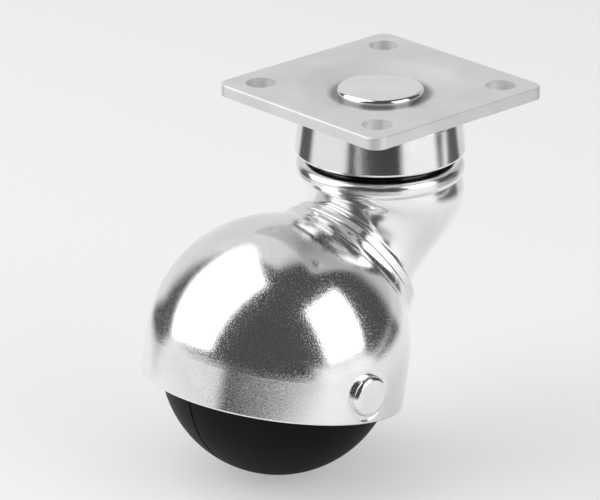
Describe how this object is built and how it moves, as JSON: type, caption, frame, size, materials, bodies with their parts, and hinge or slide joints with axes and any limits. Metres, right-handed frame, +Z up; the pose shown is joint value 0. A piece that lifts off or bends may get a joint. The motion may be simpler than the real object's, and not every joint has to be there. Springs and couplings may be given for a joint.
{
  "type": "ball castor",
  "caption": "Swivel ball castor with a square screw-on plate, bearing cup, leaning pressed neck and bright hood over a black ball.",
  "frame": {"origin": "centre of the plate's top face, on the swivel axis", "axes": "+Z up out of the plate's top face, the ball trails towards -X at rest, the axle lies along Y"},
  "size_m": [0.0676, 0.0472, 0.0639],
  "materials": {
    "plated_steel": "bright plated, slightly grainy",
    "satin_steel": "satin plated",
    "bearing_steel": "ground and hardened",
    "black_plastic": "moulded, semi-matt",
    "bush_plastic": "moulded, natural"
  },
  "bodies": {
    "fixing": {"top_plate": "satin_steel", "king_pin": "plated_steel", "bearing_cup": "plated_steel", "lower_race": "satin_steel"},
    "fork": {"neck": "plated_steel", "hood": "plated_steel", "axle": "plated_steel", "near_spacer": "bush_plastic", "far_spacer": "bush_plastic"},
    "wheel": {"ball_half_near": "black_plastic", "ball_half_far": "black_plastic", "hub_bush": "bush_plastic"},
    "upper_row": {"upper_ball_01": "bearing_steel", "upper_ball_02": "bearing_steel", "upper_ball_03": "bearing_steel", "upper_ball_04": "bearing_steel", "upper_ball_05": "bearing_steel", "upper_ball_06": "bearing_steel", "upper_ball_07": "bearing_steel", "upper_ball_08": "bearing_steel", "upper_ball_09": "bearing_steel", "upper_ball_10": "bearing_steel", "upper_ball_11": "bearing_steel", "upper_ball_12": "bearing_steel", "upper_ball_13": "bearing_steel", "upper_ball_14": "bearing_steel", "upper_ball_15": "bearing_steel", "upper_ball_16": "bearing_steel"},
    "lower_row": {"lower_ball_01": "bearing_steel", "lower_ball_02": "bearing_steel", "lower_ball_03": "bearing_steel", "lower_ball_04": "bearing_steel", "lower_ball_05": "bearing_steel", "lower_ball_06": "bearing_steel", "lower_ball_07": "bearing_steel", "lower_ball_08": "bearing_steel", "lower_ball_09": "bearing_steel", "lower_ball_10": "bearing_steel", "lower_ball_11": "bearing_steel", "lower_ball_12": "bearing_steel", "lower_ball_13": "bearing_steel", "lower_ball_14": "bearing_steel"}
  },
  "joints": [
    {"name": "swivel", "type": "hinge", "parent": "fixing", "child": "fork", "pos_m": [0, 0, 0], "axis": [0, 0, 1], "continuous": true},
    {"name": "ball_spin", "type": "hinge", "parent": "fork", "child": "wheel", "pos_m": [-0.024, 0, -0.04369], "axis": [0, 1, 0], "continuous": true},
    {"name": "upper_row_roll", "type": "hinge", "parent": "fixing", "child": "upper_row", "pos_m": [0, 0, 0], "axis": [0, 0, 1], "continuous": true},
    {"name": "lower_row_roll", "type": "hinge", "parent": "fixing", "child": "lower_row", "pos_m": [0, 0, 0], "axis": [0, 0, 1], "continuous": true}
  ],
  "couplings": [
    {"joint": "upper_row_roll", "follows": "swivel", "ratio": 0.5},
    {"joint": "lower_row_roll", "follows": "swivel", "ratio": 0.5}
  ]
}
